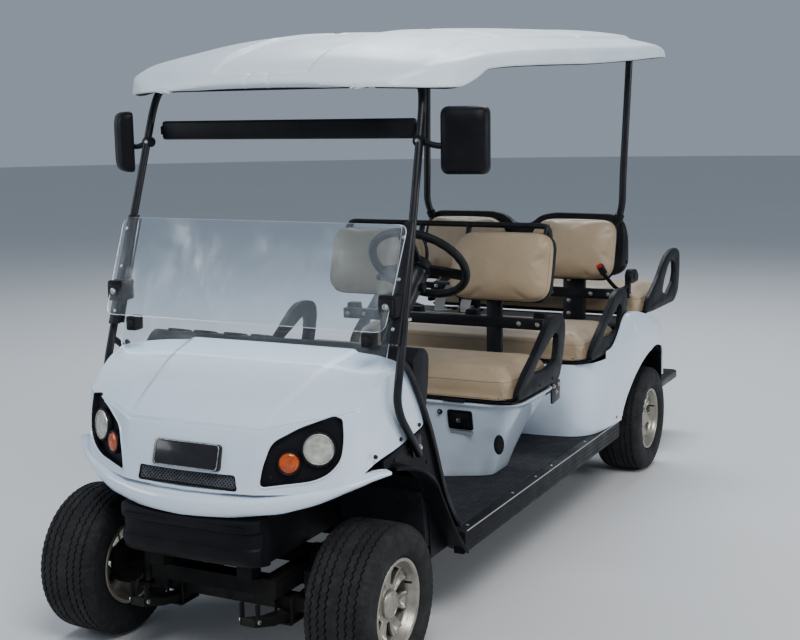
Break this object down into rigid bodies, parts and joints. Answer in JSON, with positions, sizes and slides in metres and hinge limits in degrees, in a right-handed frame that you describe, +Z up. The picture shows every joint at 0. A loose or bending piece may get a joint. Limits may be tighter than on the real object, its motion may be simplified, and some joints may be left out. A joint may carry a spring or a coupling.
{
  "type": "golf cart",
  "caption": "Open golf cart with forward and rear-facing tan benches, white body, fold-down windshield, canopy roof on struts and steered front wheels.",
  "frame": {"origin": "on the ground below the centre of the bounding box, on the centre plane", "axes": "+X to the left of the cart, -Y to its front, +Z up"},
  "size_m": [1.3522, 3.542, 1.9159],
  "materials": {
    "white_panel": "glossy moulded white body panel",
    "roof_white": "satin white moulded canopy",
    "black_plastic": "textured black moulding",
    "black_steel": "satin black powder coat",
    "frame_steel": "dusty black paint",
    "tan_vinyl": "grained tan vinyl",
    "tyre_rubber": "worn tread rubber",
    "rim_metal": "warm silver painted rim",
    "clear_acrylic": "clear acrylic with bright edges",
    "floor_rubber": "ribbed rubber mat",
    "lamp_lens": "ribbed clear lens",
    "axle_steel": "dull bare and painted steel",
    "plate_black": "plain blank plate",
    "belt_black": "belt reel housings",
    "wheel_urethane": "soft-touch black"
  },
  "bodies": {
    "chassis": {"chassis_frame": "frame_steel", "front_cowl": "white_panel", "headlamp_bezels": "black_plastic", "lamps": "lamp_lens", "grille": "black_plastic", "nameplate": "plate_black", "front_bumper": "black_plastic", "splash_panels": "black_plastic", "dash": "black_plastic", "steering_column": "black_steel", "windshield_lower": "clear_acrylic", "windshield_upper": "clear_acrylic", "front_struts": "black_steel", "mirror_bar": "black_plastic", "rear_struts": "black_steel", "roof_canopy": "roof_white", "side_mirrors": "black_plastic", "floor_mat": "floor_rubber", "sills": "black_plastic", "front_seat_pod": "white_panel", "rear_body": "white_panel", "seat_back_frames": "black_steel", "backrest_cushions": "tan_vinyl", "seat_belts": "belt_black", "rear_platform": "black_steel", "pedals": "black_steel", "front_axle": "axle_steel", "rear_axle": "axle_steel", "leaf_springs": "axle_steel", "power_block": "axle_steel"},
    "knuckle_left_body": {"knuckle_left": "axle_steel"},
    "knuckle_right_body": {"knuckle_right": "axle_steel"},
    "tie_rod_body": {"tie_rod": "axle_steel"},
    "steering_wheel_body": {"steering_wheel": "wheel_urethane"},
    "wheel_fl": {"rim_fl": "rim_metal", "tyre_fl": "tyre_rubber"},
    "wheel_fr": {"rim_fr": "rim_metal", "tyre_fr": "tyre_rubber"},
    "wheel_rl": {"rim_rl": "rim_metal", "tyre_rl": "tyre_rubber"},
    "wheel_rr": {"rim_rr": "rim_metal", "tyre_rr": "tyre_rubber"},
    "row1_seat": {"row1_seat_base": "black_plastic", "row1_cushion": "tan_vinyl"},
    "row2_seat": {"row2_seat_base": "black_plastic", "row2_cushion": "tan_vinyl"},
    "row3_seat": {"row3_seat_base": "black_plastic", "row3_cushion": "tan_vinyl"}
  },
  "joints": [
    {"name": "steer_left", "type": "hinge", "parent": "chassis", "child": "knuckle_left_body", "pos_m": [0.31, -1.519, 0.2285], "axis": [0, 0, 1], "range_deg": [-25, 25]},
    {"name": "steer_right", "type": "hinge", "parent": "chassis", "child": "knuckle_right_body", "pos_m": [-0.31, -1.519, 0.2285], "axis": [0, 0, 1], "range_deg": [-25, 25]},
    {"name": "tie_rod_shift", "type": "slide", "parent": "chassis", "child": "tie_rod_body", "axis": [1, 0, 0], "range_m": [-0.056, 0.056]},
    {"name": "steering_wheel_turn", "type": "hinge", "parent": "chassis", "child": "steering_wheel_body", "pos_m": [0.26, -0.769, 1.09], "axis": [0, 0.7071, 0.7071], "range_deg": [-350, 350]},
    {"name": "spin_fl", "type": "hinge", "parent": "knuckle_left_body", "child": "wheel_fl", "pos_m": [0.458, -1.519, 0.2285], "axis": [1, 0, 0], "continuous": true},
    {"name": "spin_fr", "type": "hinge", "parent": "knuckle_right_body", "child": "wheel_fr", "pos_m": [-0.458, -1.519, 0.2285], "axis": [1, 0, 0], "continuous": true},
    {"name": "spin_rl", "type": "hinge", "parent": "chassis", "child": "wheel_rl", "pos_m": [0.474, 0.93, 0.2285], "axis": [1, 0, 0], "continuous": true},
    {"name": "spin_rr", "type": "hinge", "parent": "chassis", "child": "wheel_rr", "pos_m": [-0.474, 0.93, 0.2285], "axis": [1, 0, 0], "continuous": true},
    {"name": "row1_seat_lift", "type": "hinge", "parent": "chassis", "child": "row1_seat", "pos_m": [0, -0.593, 0.6], "axis": [1, 0, 0], "range_deg": [0, 60]},
    {"name": "row2_seat_lift", "type": "hinge", "parent": "chassis", "child": "row2_seat", "pos_m": [0, 0.181, 0.6], "axis": [1, 0, 0], "range_deg": [0, 60]},
    {"name": "row3_seat_lift", "type": "hinge", "parent": "chassis", "child": "row3_seat", "pos_m": [0, 1.367, 0.68], "axis": [-1, 0, 0], "range_deg": [0, 60]}
  ],
  "couplings": [
    {"joint": "steer_right", "follows": "steer_left", "ratio": 1},
    {"joint": "tie_rod_shift", "follows": "steer_left", "m_per_rad": -0.128},
    {"joint": "steering_wheel_turn", "follows": "steer_left", "ratio": 14}
  ]
}
